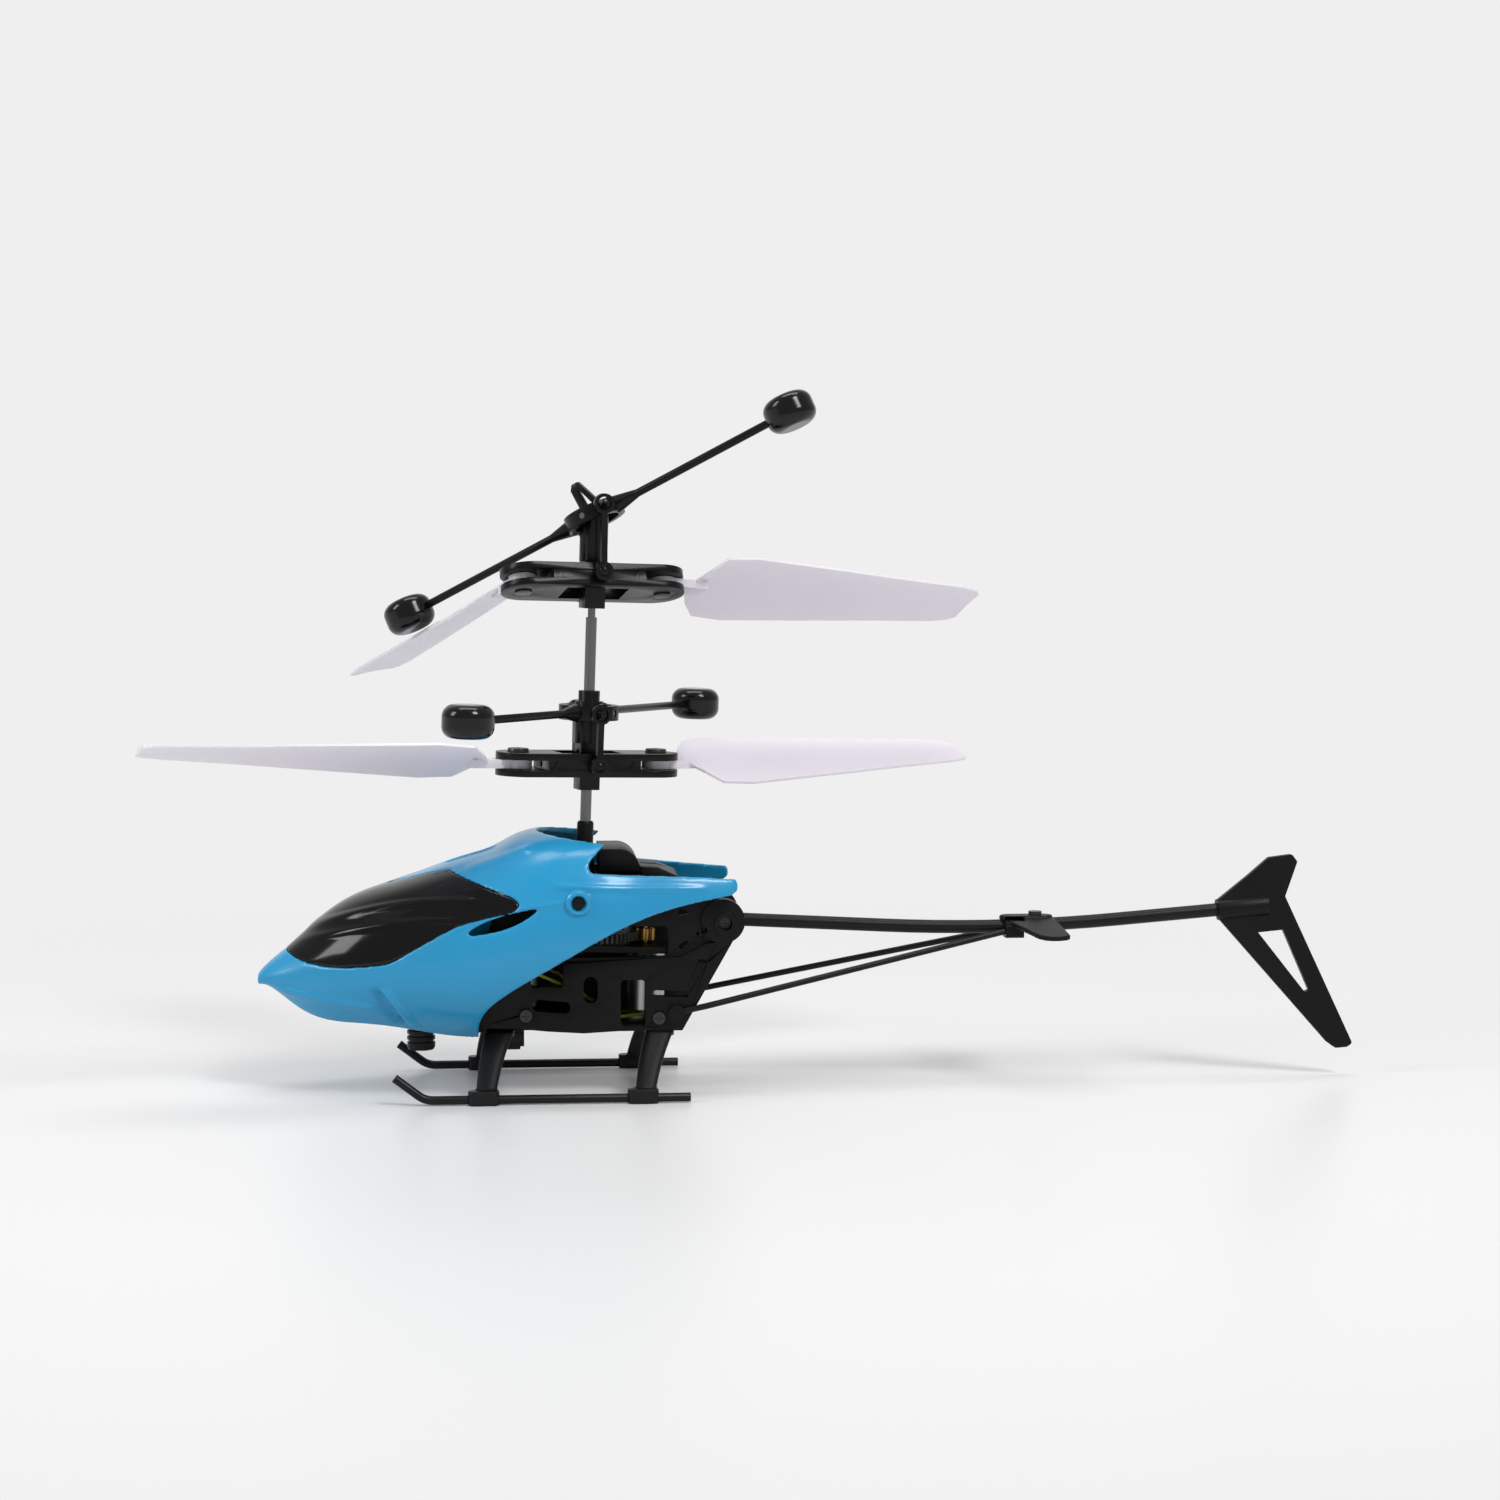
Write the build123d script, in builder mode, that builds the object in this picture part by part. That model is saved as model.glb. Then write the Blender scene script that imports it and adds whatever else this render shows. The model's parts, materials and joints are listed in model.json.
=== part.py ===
from build123d import *
from math import asin, cos, degrees, radians, sin, tan
import os

# Coaxial remote control helicopter, in millimetres and degrees. Nose towards -X, tail towards +X, +Z up.
# The origin is on the ground in the middle plane, straight below where the mast leaves its collar.

# ---- mast and rotor layout (heights are measured along the mast) ----
MAST_LEAN = 1.9
MAST_FOOT_X = -1.45
LOWER_HUB_H = 53.1
UPPER_HUB_H = 82.7
LOWER_FLYBAR_H = 61.55
UPPER_FLYBAR_H = 93.5
LOWER_HUB_TURN = 16.0
UPPER_HUB_TURN = 15.0
FLYBAR_PHASE = 43.0
UPPER_FLYBAR_TILT = 27.4
LINK_ARM_FLYBAR = 6.5
LINK_ARM_HOLDER = 6.3

# ---- shafts and gears ----
INNER_SHAFT_R = 0.62
OUTER_SHAFT_R = 0.9
OUTER_SHAFT_BORE_R = 0.68
RUN_CLEARANCE = 0.05
GEAR_MODULE = 0.3
GEAR_TEETH = 60
PINION_TEETH = 9
GEAR_CENTRES = GEAR_MODULE * (GEAR_TEETH + PINION_TEETH) / 2
INNER_GEAR_H = 24.6
OUTER_GEAR_H = 27.2
GEAR_FACE = 1.4
GEAR_DECK_H = 23.0
MAST_DECK_H = 29.8
DECK_THICKNESS = 1.0
COLLAR_TOP_H = 43.8
MOTOR_R = 3.45
MOTOR_LENGTH = 9.8
MOTOR_SHAFT_R = 0.4

# ---- blade holders, blades, flybars ----
HOLDER_LENGTH = 30.8
HOLDER_WIDTH = 9.4
HOLDER_PLATE = 1.1
HOLDER_GAP = 1.6
BLADE_PIN_X = 11.8
BLADE_PIN_R = 0.85
BLADE_LENGTH = 61.4
BOLT_HEAD = 0.6
BLADE_ROOT = 1.4
BLADE_SKIN = 0.8
BLADE_CONE = 1.5
HEAD_R = 2.3
HEAD_HALF = 1.7
PIVOT_PIN_R = 0.5
FLYBAR_HALF = 38.0
FLYBAR_ROD_R = 0.65
WEIGHT_R = 4.1
WEIGHT_HEIGHT = 5.3
RING_IN = 3.75
RING_OUT = 4.9
RING_HEIGHT = 2.4
BALL_R = 1.0
STUD_R = 0.4

# ---- canopy: x, half width and height of the lower edge, the widest line and the shoulder, top height ----
WALL = 0.9
STATIONS = [
    (-53.4, 0.9, 17.4, 1.5, 18.1, 1.0, 18.7, 19.1),
    (-49.4, 3.0, 16.0, 4.7, 18.7, 3.2, 21.6, 22.9),
    (-44.0, 5.2, 12.8, 8.4, 19.0, 5.8, 25.3, 27.7),
    (-38.0, 7.0, 11.9, 11.8, 19.8, 8.2, 29.0, 31.8),
    (-30.0, 8.6, 11.2, 14.8, 21.2, 10.2, 31.9, 34.6),
    (-22.0, 9.6, 10.0, 16.8, 23.4, 11.2, 34.5, 37.4),
    (-15.0, 10.2, 9.8, 17.9, 26.0, 11.8, 36.8, 39.6),
    (-9.0, 10.6, 9.8, 18.4, 28.2, 12.4, 39.2, 42.3),
    (-3.0, 11.0, 9.8, 18.5, 29.6, 12.9, 40.2, 42.5),
    (3.2, 11.0, 9.8, 17.8, 30.6, 12.9, 40.0, 42.5),
    (10.0, 10.4, 9.8, 15.4, 31.4, 12.0, 38.6, 41.5),
    (18.0, 9.4, 9.8, 12.6, 32.2, 10.4, 37.2, 40.0),
    (24.6, 8.6, 9.8, 10.8, 32.8, 9.2, 36.4, 39.0),
]
COLLAR_X = 3.2
COLLAR_R = 11.2
PEG_AT = (-1.74, 32.28)

# ---- frame, boom and tail, landing gear ----
PLATE_IN = 6.8
PLATE_THICKNESS = 1.2
PANEL_THICKNESS = 1.0
LUG_AT = (21.9, 28.0)
LUG_R = 3.6
STRUT_FOOT_AT = (14.25, 13.3)
STRUT_R = 0.5
BOOM_R = 1.1
BOOM_POINTS = [(18.0, 0, 27.6), (68.6, 0, 25.0), (109.2, 0, 28.35)]
CLIP_X = 69.2
CLIP_Z = 24.95
STABILISER_HALF = 12.0
STABILISER_DROOP = 9.5
SKID_Y = 17.0
SKID_R = 0.7
SKID_Z = 0.85
SKID_BACK_X = 16.1
FRONT_PAD_X = -16.9
REAR_PAD_X = 8.5
PAD_SIZE = (5.0, 2.6, 2.3)
KNOB_X = -18.7
SOCKET_R = 1.0
SOCKET_Z = 7.95
SOCKET_DEPTH = 5.2

MAST = Plane(Location((MAST_FOOT_X, 0, 0), (0, MAST_LEAN, 0)))
FEATHER_PER_TILT = LINK_ARM_FLYBAR * sin(radians(FLYBAR_PHASE)) / LINK_ARM_HOLDER
UPPER_FEATHER = -degrees(asin(FEATHER_PER_TILT * sin(radians(UPPER_FLYBAR_TILT))))
pieces = {}


def place(frame, x=0.0, y=0.0, z=0.0, rx=0.0, ry=0.0, rz=0.0):
    """A plane at x, y, z of another plane, turned by rx, ry, rz about that plane's directions."""
    return Plane(frame.location * Location((x, y, z), (rx, ry, rz)))


def facing_x(frame, x, y=0.0, z=0.0):
    return place(frame, x, y, z, ry=90)


def facing_y(frame, x, y=0.0, z=0.0):
    return place(frame, x, y, z, rx=-90)


# The rotors' frames: x along the blade holder or the flybar, z along the mast when level.
LOWER_HUB = place(MAST, z=LOWER_HUB_H, rz=LOWER_HUB_TURN)
UPPER_HUB = place(MAST, z=UPPER_HUB_H, rz=UPPER_HUB_TURN)
LOWER_HOLDER = LOWER_HUB
UPPER_HOLDER = place(UPPER_HUB, rx=UPPER_FEATHER)
LOWER_FLYBAR = place(MAST, z=LOWER_FLYBAR_H, rz=LOWER_HUB_TURN + FLYBAR_PHASE)
UPPER_FLYBAR_LEVEL = place(MAST, z=UPPER_FLYBAR_H, rz=UPPER_HUB_TURN - FLYBAR_PHASE)
UPPER_FLYBAR = place(UPPER_FLYBAR_LEVEL, ry=-UPPER_FLYBAR_TILT)


# ======================= canopy =======================
def canopy_section(station, inset):
    x, w_low, z_low, w_mid, z_mid, w_top, z_top, z_crown = station
    with BuildSketch(Plane.YZ.offset(x)) as section:
        with BuildLine():
            low = Line((-w_low + inset, z_low + inset), (w_low - inset, z_low + inset))
            Spline(
                low @ 1,
                (w_mid - inset, z_mid),
                (w_top - 0.7 * inset, z_top - 0.7 * inset),
                (0, z_crown - inset),
                (-w_top + 0.7 * inset, z_top - 0.7 * inset),
                (-w_mid + inset, z_mid),
                low @ 0,
            )
        make_face()
    return section.sketch


def side_prism(points, start=-30.0, depth=60.0):
    """A closed side outline, x and z, drawn through the whole width."""
    with BuildPart() as prism:
        with BuildSketch(Plane.XZ.offset(start)):
            with BuildLine():
                Polyline(*points, close=True)
            make_face()
        extrude(amount=depth)
    return prism.part


def window_prism():
    with BuildPart() as prism:
        with BuildSketch(Plane.XZ.offset(-30)):
            with BuildLine():
                rise = Line((-49.3, 30), (-49.3, 23.6))
                sill = Spline(rise @ 1, (-47.6, 22.6), (-44.4, 21.7), (-37.0, 21.6), (-32.4, 22.2))
                belt = Spline(sill @ 1, (-27.0, 24.9), (-20.5, 28.4), (-15.7, 29.9), (-12.3, 30.7))
                tip = Spline(belt @ 1, (-11.1, 31.6), (-12.6, 33.1))
                brow = Spline(tip @ 1, (-17.3, 34.7), (-22.1, 36.4))
                Polyline(brow @ 1, (-22.1, 45), (-49.3, 45), rise @ 0)
            make_face()
        extrude(amount=60)
        with BuildSketch(Plane.XY.offset(20)):
            with BuildLine():
                Polyline((-32.2, 0), (-22.0, 6.2), (-8.0, 6.2), (-8.0, -6.2), (-22.0, -6.2), close=True)
            make_face()
        extrude(amount=40, mode=Mode.SUBTRACT)
    return prism.part


window_cut = window_prism()

nose_station = (STATIONS[0][0] + 1.6,) + STATIONS[0][1:]
last_station = (STATIONS[-1][0] + 1.0,) + STATIONS[-1][1:]
with BuildPart() as canopy_hollow:
    inside = [canopy_section(nose_station, 0.6 * WALL)]
    inside += [canopy_section(s, WALL) for s in STATIONS[1:-1] + [last_station]]
    loft(sections=inside)

LAMP = Plane((-44.3, 0, 14.1), z_dir=(-0.62, 0, -0.78))
with BuildPart() as lamp_hole:
    with BuildSketch(LAMP.offset(-3)):
        Circle(1.1)
    extrude(amount=6)

with BuildPart() as canopy_blank:
    loft(sections=[canopy_section(s, 0.0) for s in STATIONS])
    add(canopy_hollow.part, mode=Mode.SUBTRACT)
    with BuildSketch(Plane.XZ.offset(-30)):
        with BuildLine():
            under = Line((-17.6, 5), (-17.6, 11))
            rising = Spline(under @ 1, (-16.6, 14.4), (-13.9, 17.0), (-6.2, 21.8), (7.5, 28.9), (16.0, 31.2),
                            (22.4, 32.3))
            back = Spline(rising @ 1, (24.2, 33.5), (23.9, 35.0))
            wing = Polyline(back @ 1, (0.5, 36.7))
            neck = Spline(wing @ 1, (0.0, 37.5), (1.3, 39.6), (3.4, 42.0))
            Polyline(neck @ 1, (3.4, 60), (40, 60), (40, 5), under @ 0)
        make_face()
    extrude(amount=60, mode=Mode.SUBTRACT)
    with BuildSketch(Plane.XY.offset(36)):
        with Locations((COLLAR_X, 0)):
            Circle(COLLAR_R)
        with Locations((COLLAR_X + 15, 0)):
            Rectangle(30, 2 * COLLAR_R)
    extrude(amount=10, mode=Mode.SUBTRACT)

with BuildPart() as canopy_shell:
    add(canopy_blank.part)
    add(window_cut, mode=Mode.SUBTRACT)
    with BuildSketch(Plane.XZ.offset(-30)):
        with BuildLine():
            lower = Spline((-19.9, 26.9), (-17.4, 27.2), (-13.4, 28.1), (-10.2, 29.6), (-7.6, 31.6))
            Spline(lower @ 1, (-13.4, 30.2), (-17.35, 28.7), lower @ 0)
        make_face()
    extrude(amount=60, mode=Mode.SUBTRACT)
    for side in (-1, 1):
        with BuildSketch(Plane.XZ.offset(16.9 if side < 0 else -18.5)):
            with Locations(PEG_AT):
                Circle(1.65)
        extrude(amount=1.6)
    with BuildSketch(Plane.XZ.offset(-30)):
        with Locations(PEG_AT):
            Circle(1.0)
    extrude(amount=60, mode=Mode.SUBTRACT)
    with BuildSketch(Plane.XY.offset(5)):
        with Locations((-19.5, 0)):
            Rectangle(6.4, 5.4)
        with Locations((-27.0, 0)):
            Circle(2.36)
    extrude(amount=9, mode=Mode.SUBTRACT)
    add(lamp_hole.part, mode=Mode.SUBTRACT)
pieces["canopy_shell"] = canopy_shell.part

with BuildPart() as canopy_window:
    add(canopy_blank.part)
    add(window_cut, mode=Mode.INTERSECT)
pieces["canopy_window"] = canopy_window.part

with BuildPart() as canopy_pegs:
    for side in (-1, 1):
        with BuildSketch(Plane.XZ.offset(8.0 if side < 0 else -18.9)):
            with Locations(PEG_AT):
                Circle(0.9)
        extrude(amount=10.9)
        with BuildSketch(Plane.XZ.offset(8.0 if side < 0 else -12.0)):
            with Locations(PEG_AT):
                Circle(1.6)
        extrude(amount=4.0)
pieces["canopy_pegs"] = canopy_pegs.part


# ======================= main frame =======================
def slot_between(start, end, width):
    """A round-ended slot between two points of a side plate."""
    with BuildSketch(Plane.XY, mode=Mode.PRIVATE) as slot:
        with BuildLine():
            Line(start, end)
        trace(line_width=width)
        with Locations(start, end):
            Circle(width / 2)
    return slot.sketch


def near_side_windows():
    """The openings that only the near side plate has."""
    with BuildSketch(Plane.XY, mode=Mode.PRIVATE) as windows:
        add(slot_between((-8.0, 14.6), (-3.8, 14.2), 1.9))
        add(slot_between((0.45, 16.0), (0.45, 18.1), 2.2))
        with Locations((7.3, 14.85)):
            RectangleRounded(4.0, 7.5, 0.7)
        add(slot_between((11.0, 16.4), (15.8, 16.2), 1.0))
        with Locations((-6.6, 19.9)):
            RectangleRounded(5.2, 4.6, 0.5)
        with Locations((2.0, 24.75)):
            RectangleRounded(22.0, 4.9, 0.8)
    return windows.sketch


def side_plate(side):
    base = PLATE_IN if side < 0 else -PLATE_IN - PLATE_THICKNESS
    skin = PLATE_IN + PLATE_THICKNESS
    outside = skin if side < 0 else -skin - PANEL_THICKNESS
    bottom = [(-17.6, 11.1), (-10.7, 10.8), (-6.2, 10.35), (-0.7, 10.0), (5.0, 10.3), (15.3, 10.3)]
    with BuildPart() as plate:
        with BuildSketch(Plane.XZ.offset(base)):
            with BuildLine():
                Polyline(
                    *bottom, (16.6, 12.6), (23.6, 24.9), (25.0, 28.0), (22.0, 31.4), (15.5, 33.6),
                    (8.5, 35.6), (-6.0, 36.0), (-12.0, 33.0), (-15.2, 27.0), (-17.6, 18.0), close=True,
                )
            make_face()
            with Locations(LUG_AT):
                Circle(LUG_R)
        extrude(amount=PLATE_THICKNESS)
        with BuildSketch(Plane.XZ.offset(outside)):
            with BuildLine():
                Polyline(*bottom, (16.6, 12.6), (23.6, 24.9), (19.2, 24.4), (15.0, 22.3), (-1.4, 21.5),
                         (-17.6, 21.5), close=True)
            make_face()
        extrude(amount=PANEL_THICKNESS)
        with BuildSketch(Plane.XZ.offset(outside)):
            with Locations(LUG_AT):
                Circle(LUG_R)
        extrude(amount=PANEL_THICKNESS)
        ring_start = 9.0 if side < 0 else -9.4
        with BuildSketch(Plane.XZ.offset(ring_start)):
            with Locations((22.3, 27.6)):
                Circle(1.9)
                Circle(1.05, mode=Mode.SUBTRACT)
        extrude(amount=0.4)
        with BuildSketch(Plane.XZ.offset(-20)):
            if side < 0:
                add(near_side_windows())
            else:
                with Locations((8.3, 13.4)):
                    RectangleRounded(1.6, 3.4, 0.4)
            with Locations((-0.4, 26.9)):
                RectangleRounded(15.6, 5.8, 0.8)
            with BuildLine():
                Polyline((14.7, 28.8), (14.9, 30.2), (16.6, 29.2), close=True)
            make_face()
            add(slot_between((18.1, 26.0), (18.9, 26.6), 0.9))
            add(slot_between((15.1, 23.8), (15.9, 24.4), 0.8))
            add(slot_between((18.0, 21.6), (19.1, 21.6), 0.5))
            with Locations((22.3, 27.6)):
                Circle(1.05)
            with Locations((12.2, 30.9), (-10.0, 13.0), (11.5, 12.4)):
                Circle(0.55)
        extrude(amount=40, mode=Mode.SUBTRACT)
    return plate.part


pieces["frame_near_side"] = side_plate(-1)
pieces["frame_far_side"] = side_plate(1)


def cross_plate(frame, x_low, x_high, thickness, half_width=PLATE_IN):
    """A plate between the side plates, from a plane's own height up."""
    with BuildPart() as plate:
        with BuildSketch(frame):
            with Locations(((x_low + x_high) / 2, 0)):
                Rectangle(x_high - x_low, 2 * half_width)
        extrude(amount=thickness)
    return plate.part


with BuildPart() as frame_floor:
    add(cross_plate(Plane.XY.offset(10.3), -16.4, 15.0, 0.75))
    with BuildSketch(Plane.XY.offset(11.05)):
        with Locations((-10.5, 0), (12.4, 0)):
            Rectangle(1.0, 2 * PLATE_IN)
    extrude(amount=0.6)
pieces["frame_floor"] = frame_floor.part

with BuildPart() as battery_tray:
    with BuildSketch(Plane.XY.offset(12.95)):
        with Locations((-25.5, 0)):
            RectangleRounded(21.6, 10.8, 1.5)
    extrude(amount=0.6)
    with BuildSketch(Plane.XY.offset(13.55)):
        with Locations((-16.2, 0), (-35.6, 0)):
            Rectangle(0.7, 8.0)
    extrude(amount=1.6)
pieces["battery_tray"] = battery_tray.part

with BuildPart() as gear_deck:
    add(cross_plate(place(MAST, z=GEAR_DECK_H), -15.0, 14.6, DECK_THICKNESS))
    with BuildSketch(MAST.offset(GEAR_DECK_H)):
        Circle(1.6)
        with Locations((GEAR_CENTRES, 0), (-GEAR_CENTRES, 0)):
            Circle(1.5)
    extrude(amount=DECK_THICKNESS, mode=Mode.SUBTRACT)
pieces["gear_deck"] = gear_deck.part

with BuildPart() as mast_collar:
    add(cross_plate(place(MAST, z=MAST_DECK_H), -8.0, 12.0, DECK_THICKNESS))
    with BuildSketch(Plane(MAST.origin, x_dir=MAST.x_dir, z_dir=-MAST.y_dir)):
        with BuildLine():
            Polyline(
                (0, 30.2), (3.2, 30.2), (3.2, 32.5), (1.9, 35.5), (1.36, 38.0), (1.36, 43.4),
                (1.1, COLLAR_TOP_H), (0, COLLAR_TOP_H), close=True,
            )
        make_face()
    revolve(axis=Axis(MAST.origin, MAST.z_dir))
    with BuildSketch(MAST.offset(MAST_DECK_H)):
        Circle(1.6)
    extrude(amount=1.7, mode=Mode.SUBTRACT)
    with BuildSketch(MAST.offset(MAST_DECK_H)):
        Circle(1.12)
    extrude(amount=20, mode=Mode.SUBTRACT)
pieces["mast_collar"] = mast_collar.part

with BuildPart() as shaft_bushes:
    for height, length, bore, outside in (
        (GEAR_DECK_H, DECK_THICKNESS, INNER_SHAFT_R, 1.6),
        (MAST_DECK_H, 1.7, OUTER_SHAFT_R, 1.6),
        (42.4, 1.2, OUTER_SHAFT_R, 1.12),
    ):
        with BuildSketch(MAST.offset(height)):
            Circle(outside)
            Circle(bore + RUN_CLEARANCE, mode=Mode.SUBTRACT)
        extrude(amount=length)
pieces["shaft_bushes"] = shaft_bushes.part

with BuildPart() as rear_cover:
    for inset, mode in ((0.0, Mode.ADD), (0.8, Mode.SUBTRACT)):
        with BuildSketch(Plane.XZ.offset(-7.0 + inset)):
            with BuildLine():
                front, top = 2.0 + inset, 39.7 - inset
                rise = Polyline((front, 36.05), (front, top), (5.4 - 0.5 * inset, top))
                curve = RadiusArc(rise @ 1, (8.5 - inset, 37.0 - 0.5 * inset), 3.4)
                Polyline(curve @ 1, (8.5 - inset, 36.05), (front, 36.05))
            make_face()
        extrude(amount=14.0 - 2 * inset, mode=mode)
pieces["rear_cover"] = rear_cover.part

with BuildPart() as tail_deck:
    with BuildSketch(Plane.XZ.offset(-6.0)):
        with BuildLine():
            Polyline((8.7, 35.7), (8.7, 36.7), (11.6, 36.5), (14.8, 35.1), (14.8, 34.2), close=True)
        make_face()
    extrude(amount=12.0)
    with BuildSketch(Plane.XY.offset(30)):
        with Locations((10.7, 0)):
            SlotOverall(3.6, 0.8)
    extrude(amount=10, mode=Mode.SUBTRACT)
    with BuildSketch(Plane.XZ.offset(-PLATE_IN)):
        with BuildLine():
            Polyline((9.0, 32.6), (9.0, 35.7), (13.6, 34.4), (13.6, 32.6), close=True)
        make_face()
    extrude(amount=2 * PLATE_IN)
pieces["tail_deck"] = tail_deck.part

with BuildPart() as tail_boom:
    with BuildLine() as boom_line:
        FilletPolyline(*BOOM_POINTS, radius=290)
    with BuildSketch(Plane(boom_line.line @ 0, z_dir=boom_line.line % 0)):
        Circle(BOOM_R)
    sweep()
pieces["tail_boom"] = tail_boom.part

with BuildPart() as boom_block:
    with BuildSketch(Plane.XZ.offset(-PLATE_IN)):
        with Locations((20.2, LUG_AT[1])):
            Rectangle(3.4, 5.0)
        with Locations(LUG_AT):
            Circle(2.5)
    extrude(amount=2 * PLATE_IN)
    add(tail_boom.part, mode=Mode.SUBTRACT)
    with BuildSketch(Plane.XZ.offset(-20)):
        with Locations((22.3, 27.6)):
            Circle(0.54)
    extrude(amount=15, mode=Mode.SUBTRACT)
    with BuildSketch(Plane.XZ.offset(5)):
        with Locations((22.3, 27.6)):
            Circle(0.54)
    extrude(amount=15, mode=Mode.SUBTRACT)
pieces["boom_block"] = boom_block.part


def side_screws(x, z, start, head_r, head_h, length):
    """A pair of screws, one from each side, heads outwards. start is the seat's distance from the middle."""
    with BuildPart() as pair:
        for side in (-1, 1):
            head = start if side < 0 else -start - head_h
            shank = start - length if side < 0 else -start
            with BuildSketch(Plane.XZ.offset(head)):
                with Locations((x, z)):
                    Circle(head_r)
            extrude(amount=head_h)
            with BuildSketch(Plane.XZ.offset(shank)):
                with Locations((x, z)):
                    Circle(0.54)
            extrude(amount=length)
            with BuildSketch(Plane.XZ.offset(start + head_h - 0.3 if side < 0 else -start - head_h)):
                with Locations((x, z)):
                    Rectangle(1.3 * head_r, 0.22)
                    Rectangle(0.22, 1.3 * head_r)
            extrude(amount=0.3, mode=Mode.SUBTRACT)
    return pair.part


# ======================= tail =======================
def strut_line(side):
    return [
        (STRUT_FOOT_AT[0], side * 9.65, STRUT_FOOT_AT[1]),
        (19.2, side * 9.65, STRUT_FOOT_AT[1] + 1.05),
        (CLIP_X - 0.1, side * 1.75, CLIP_Z),
    ]


with BuildPart() as tail_struts:
    for side in (-1, 1):
        with BuildLine() as strut_path:
            FilletPolyline(*strut_line(side), radius=12)
        with BuildSketch(Plane(strut_path.line @ 0, z_dir=strut_path.line % 0)):
            Circle(STRUT_R)
        sweep(path=strut_path.line)
pieces["tail_struts"] = tail_struts.part

with BuildPart() as strut_knobs:
    for side in (-1, 1):
        with BuildSketch(Plane.XZ.offset(9.0 if side < 0 else -10.4)):
            with Locations(STRUT_FOOT_AT):
                Circle(1.3)
        extrude(amount=1.4)
    add(tail_struts.part, mode=Mode.SUBTRACT)
pieces["strut_knobs"] = strut_knobs.part

with BuildPart() as strut_clip:
    with BuildSketch(Plane.YZ.offset(CLIP_X)):
        with Locations((0, CLIP_Z)):
            RectangleRounded(5.2, 2.1, 0.5)
        with Locations((0, CLIP_Z + 0.55)):
            Circle(1.7)
    extrude(amount=3.0)
    add(tail_boom.part, mode=Mode.SUBTRACT)
pieces["strut_clip"] = strut_clip.part

with BuildPart() as stabiliser:
    for side in (-1, 1):
        wing = Plane(Location((0, 0, 26.95), (side * -STABILISER_DROOP, 0, 0)))
        reach = side * STABILISER_HALF / cos(radians(STABILISER_DROOP))
        with BuildSketch(wing.offset(-0.4)):
            with BuildLine():
                lead = Line((68.4, 0), (73.0, 0.86 * reach))
                cap = Spline(lead @ 1, (74.6, 0.985 * reach), (76.6, reach), (78.4, 0.93 * reach))
                Polyline(cap @ 1, (77.2, 0), lead @ 0)
            make_face()
        extrude(amount=0.8)
    with BuildSketch(Plane.XY.offset(25.6)):
        with Locations((72.9, 0)):
            SlotOverall(8.6, 3.2)
    extrude(amount=1.9)
    with BuildSketch(Plane.YZ.offset(CLIP_X - 0.05)):
        with Locations((0, 25.25)):
            Rectangle(6.0, 4.0)
    extrude(amount=3.1, mode=Mode.SUBTRACT)
    add(tail_boom.part, mode=Mode.SUBTRACT)
    with BuildSketch(Plane.XY.offset(26)):
        with Locations((74.4, 0)):
            Circle(0.6)
    extrude(amount=4, mode=Mode.SUBTRACT)
pieces["stabiliser"] = stabiliser.part

with BuildPart() as small_screws:
    for x, z, start, head_r, head_h, length in (
        (12.2, 30.9, 8.0, 1.0, 0.5, 1.2),
        (-10.0, 13.0, 9.0, 1.0, 0.5, 2.2),
        (11.5, 12.4, 9.0, 1.0, 0.5, 2.2),
        (22.3, 27.6, 6.8, 0.95, 0.9, 1.8),
    ):
        add(side_screws(x, z, start, head_r, head_h, length))
    with BuildSketch(Plane.XY.offset(27.0)):
        with Locations((74.4, 0)):
            Circle(0.6)
    extrude(amount=0.5)
    with BuildSketch(Plane.XY.offset(27.5)):
        with Locations((74.4, 0)):
            Circle(1.1)
    extrude(amount=0.6)
pieces["small_screws"] = small_screws.part

with BuildPart() as tail_fin:
    with BuildSketch(Plane.XZ.offset(-0.65)):
        with BuildLine():
            Polyline((105.0, 29.6), (110.1, 33.7), (113.6, 36.7), (117.5, 37.2), (118.4, 36.0), (116.4, 30.2),
                     (128.1, 5.4), (127.2, 4.75), (125.2, 4.6), (123.8, 5.6), (105.0, 26.8), close=True)
        make_face()
        fillet(vertices().filter_by(lambda corner: corner.X > 105.5), 0.45)
        with BuildLine():
            Polyline((111.9, 24.2), (116.1, 24.6), (120.6, 14.4), (119.9, 14.1), close=True)
        make_face(mode=Mode.SUBTRACT)
    extrude(amount=1.3)
    socket_plane = Plane((105.0, 0, 28.0), z_dir=(cos(radians(4.72)), 0, sin(radians(4.72))))
    with BuildSketch(socket_plane):
        Circle(1.75)
    extrude(amount=8.6)
    add(tail_boom.part, mode=Mode.SUBTRACT)
pieces["tail_fin"] = tail_fin.part


# ======================= landing gear =======================
def leg_section(height, x, y, half_x, half_y):
    with BuildSketch(Plane.XY.offset(height)) as section:
        with Locations((x, y)):
            Ellipse(half_x, half_y)
    return section.sketch


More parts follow.
